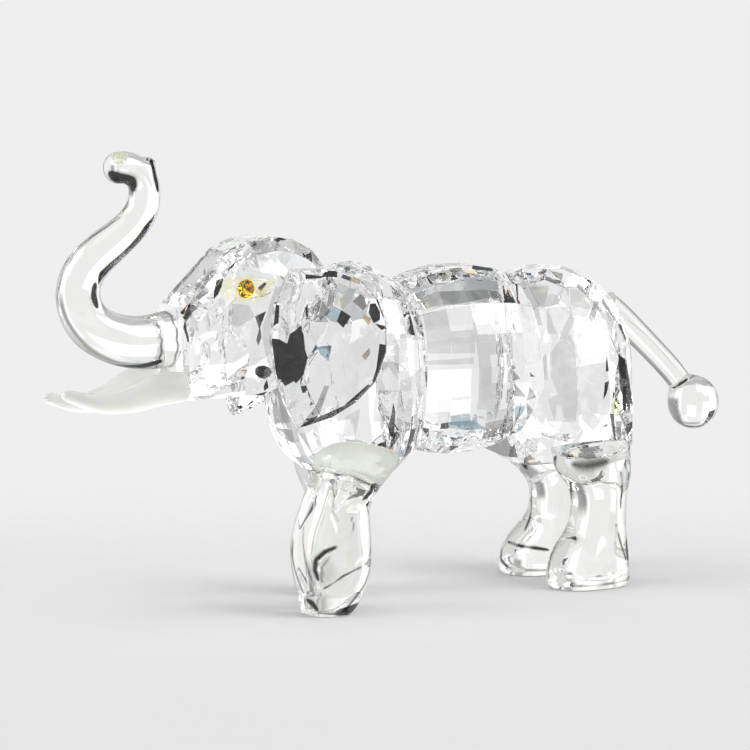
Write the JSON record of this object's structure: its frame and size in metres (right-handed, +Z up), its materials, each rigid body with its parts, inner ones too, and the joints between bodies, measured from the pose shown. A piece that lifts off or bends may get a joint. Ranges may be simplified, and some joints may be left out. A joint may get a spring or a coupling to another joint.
{
  "type": "crystal elephant figurine",
  "caption": "Faceted clear crystal elephant figurine that stands with its trunk raised, bonded from cut body blocks and smooth formed legs, trunk and tail.",
  "frame": {"origin": "on the ground plane, under the middle of the figurine's overall length and width", "axes": "+Z up; -X is the way the elephant faces; -Y is its left side"},
  "size_m": [0.1833, 0.0466, 0.1111],
  "materials": {
    "cut_crystal": "polished facets, colourless",
    "formed_crystal": "smooth fire-polished, colourless",
    "frosted_crystal": "satin frosted, off-white",
    "yellow_stone": "polished brilliant cut, yellow with a foiled back",
    "clear_adhesive": "clear cured adhesive film"
  },
  "bodies": {
    "root": {"barrel": "cut_crystal", "bond_barrel_to_hips": "clear_adhesive", "bond_chest_to_barrel": "clear_adhesive", "bond_head_to_chest": "clear_adhesive", "bond_left_ear": "clear_adhesive", "bond_left_eye": "clear_adhesive", "bond_left_front_leg": "clear_adhesive", "bond_left_hind_leg": "clear_adhesive", "bond_left_tusk": "clear_adhesive", "bond_right_ear": "clear_adhesive", "bond_right_eye": "clear_adhesive", "bond_right_front_leg": "clear_adhesive", "bond_right_hind_leg": "clear_adhesive", "bond_right_tusk": "clear_adhesive", "bond_tail": "clear_adhesive", "bond_trunk": "clear_adhesive", "chest": "cut_crystal", "head": "cut_crystal", "hips": "cut_crystal", "left_ear": "cut_crystal", "left_eye": "yellow_stone", "left_front_leg": "formed_crystal", "left_hind_leg": "formed_crystal", "left_tusk": "frosted_crystal", "right_ear": "cut_crystal", "right_eye": "yellow_stone", "right_front_leg": "formed_crystal", "right_hind_leg": "formed_crystal", "right_tusk": "frosted_crystal", "tail": "formed_crystal", "trunk": "formed_crystal"}
  },
  "joints": []
}
